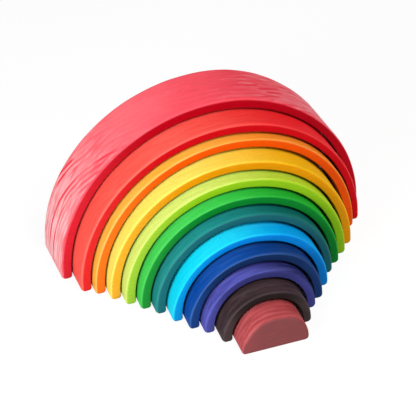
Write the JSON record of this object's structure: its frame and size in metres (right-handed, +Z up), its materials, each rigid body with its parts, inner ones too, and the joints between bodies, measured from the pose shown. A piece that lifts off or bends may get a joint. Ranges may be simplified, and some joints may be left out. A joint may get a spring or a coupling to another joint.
{
  "type": "rainbow stacker",
  "caption": "Wooden rainbow stacker, fanned out: graded half-round arches nest around a half-round core, and each slides freely out of the arch around it.",
  "frame": {"origin": "on the floor, on the centre line of the outer arches, halfway from the front of the core to the back of the outermost arch as fanned out", "axes": "+X to the right across the arches, +Y towards the back, from the core to the outermost arch, +Z up"},
  "size_m": [0.38, 0.2764, 0.196],
  "materials": {
    "crimson_stain": "transparent stain on sanded lime wood, satin",
    "red_stain": "transparent stain on sanded lime wood, satin",
    "orange_stain": "transparent stain on sanded lime wood, satin",
    "yellow_stain": "transparent stain on sanded lime wood, satin",
    "lime_stain": "transparent stain on sanded lime wood, satin",
    "green_stain": "transparent stain on sanded lime wood, satin",
    "teal_stain": "transparent stain on sanded lime wood, satin",
    "light_blue_stain": "transparent stain on sanded lime wood, satin",
    "dark_blue_stain": "transparent stain on sanded lime wood, satin",
    "violet_stain": "transparent stain on sanded lime wood, satin",
    "brown_stain": "transparent stain on sanded lime wood, satin",
    "rose_stain": "transparent stain on sanded lime wood, satin"
  },
  "bodies": {
    "crimson_arch": {"crimson_arch": "crimson_stain"},
    "red_arch": {"red_arch": "red_stain"},
    "orange_arch": {"orange_arch": "orange_stain"},
    "yellow_arch": {"yellow_arch": "yellow_stain"},
    "lime_arch": {"lime_arch": "lime_stain"},
    "green_arch": {"green_arch": "green_stain"},
    "teal_arch": {"teal_arch": "teal_stain"},
    "light_blue_arch": {"light_blue_arch": "light_blue_stain"},
    "dark_blue_arch": {"dark_blue_arch": "dark_blue_stain"},
    "violet_arch": {"violet_arch": "violet_stain"},
    "brown_arch": {"brown_arch": "brown_stain"},
    "rose_half_disc": {"rose_half_disc": "rose_stain"}
  },
  "joints": [
    {"name": "red_slide", "type": "slide", "parent": "crimson_arch", "child": "red_arch", "axis": [0, -1, 0], "range_m": [-0.0305, 0.0395]},
    {"name": "orange_slide", "type": "slide", "parent": "crimson_arch", "child": "orange_arch", "axis": [0, -1, 0], "range_m": [-0.041, 0.0595]},
    {"name": "yellow_slide", "type": "slide", "parent": "crimson_arch", "child": "yellow_arch", "axis": [0, -1, 0], "range_m": [-0.0635, 0.0475]},
    {"name": "lime_slide", "type": "slide", "parent": "yellow_arch", "child": "lime_arch", "axis": [-0.0436, -0.999, 0], "range_m": [-0.0145, 0.0555]},
    {"name": "green_slide", "type": "slide", "parent": "yellow_arch", "child": "green_arch", "axis": [-0.0436, -0.999, 0], "range_m": [-0.0285, 0.056]},
    {"name": "teal_slide", "type": "slide", "parent": "yellow_arch", "child": "teal_arch", "axis": [-0.0436, -0.999, 0], "range_m": [-0.0425, 0.056]},
    {"name": "light_blue_slide", "type": "slide", "parent": "yellow_arch", "child": "light_blue_arch", "axis": [-0.0436, -0.999, 0], "range_m": [-0.062, 0.0505]},
    {"name": "dark_blue_slide", "type": "slide", "parent": "yellow_arch", "child": "dark_blue_arch", "axis": [-0.0436, -0.999, 0], "range_m": [-0.0805, 0.0515]},
    {"name": "violet_slide", "type": "slide", "parent": "yellow_arch", "child": "violet_arch", "axis": [-0.0436, -0.999, 0], "range_m": [-0.0935, 0.057]},
    {"name": "brown_slide", "type": "slide", "parent": "yellow_arch", "child": "brown_arch", "axis": [-0.0436, -0.999, 0], "range_m": [-0.115, 0.0485]},
    {"name": "rose_slide", "type": "slide", "parent": "yellow_arch", "child": "rose_half_disc", "axis": [-0.0436, -0.999, 0], "range_m": [-0.1415, 0.0435]}
  ]
}
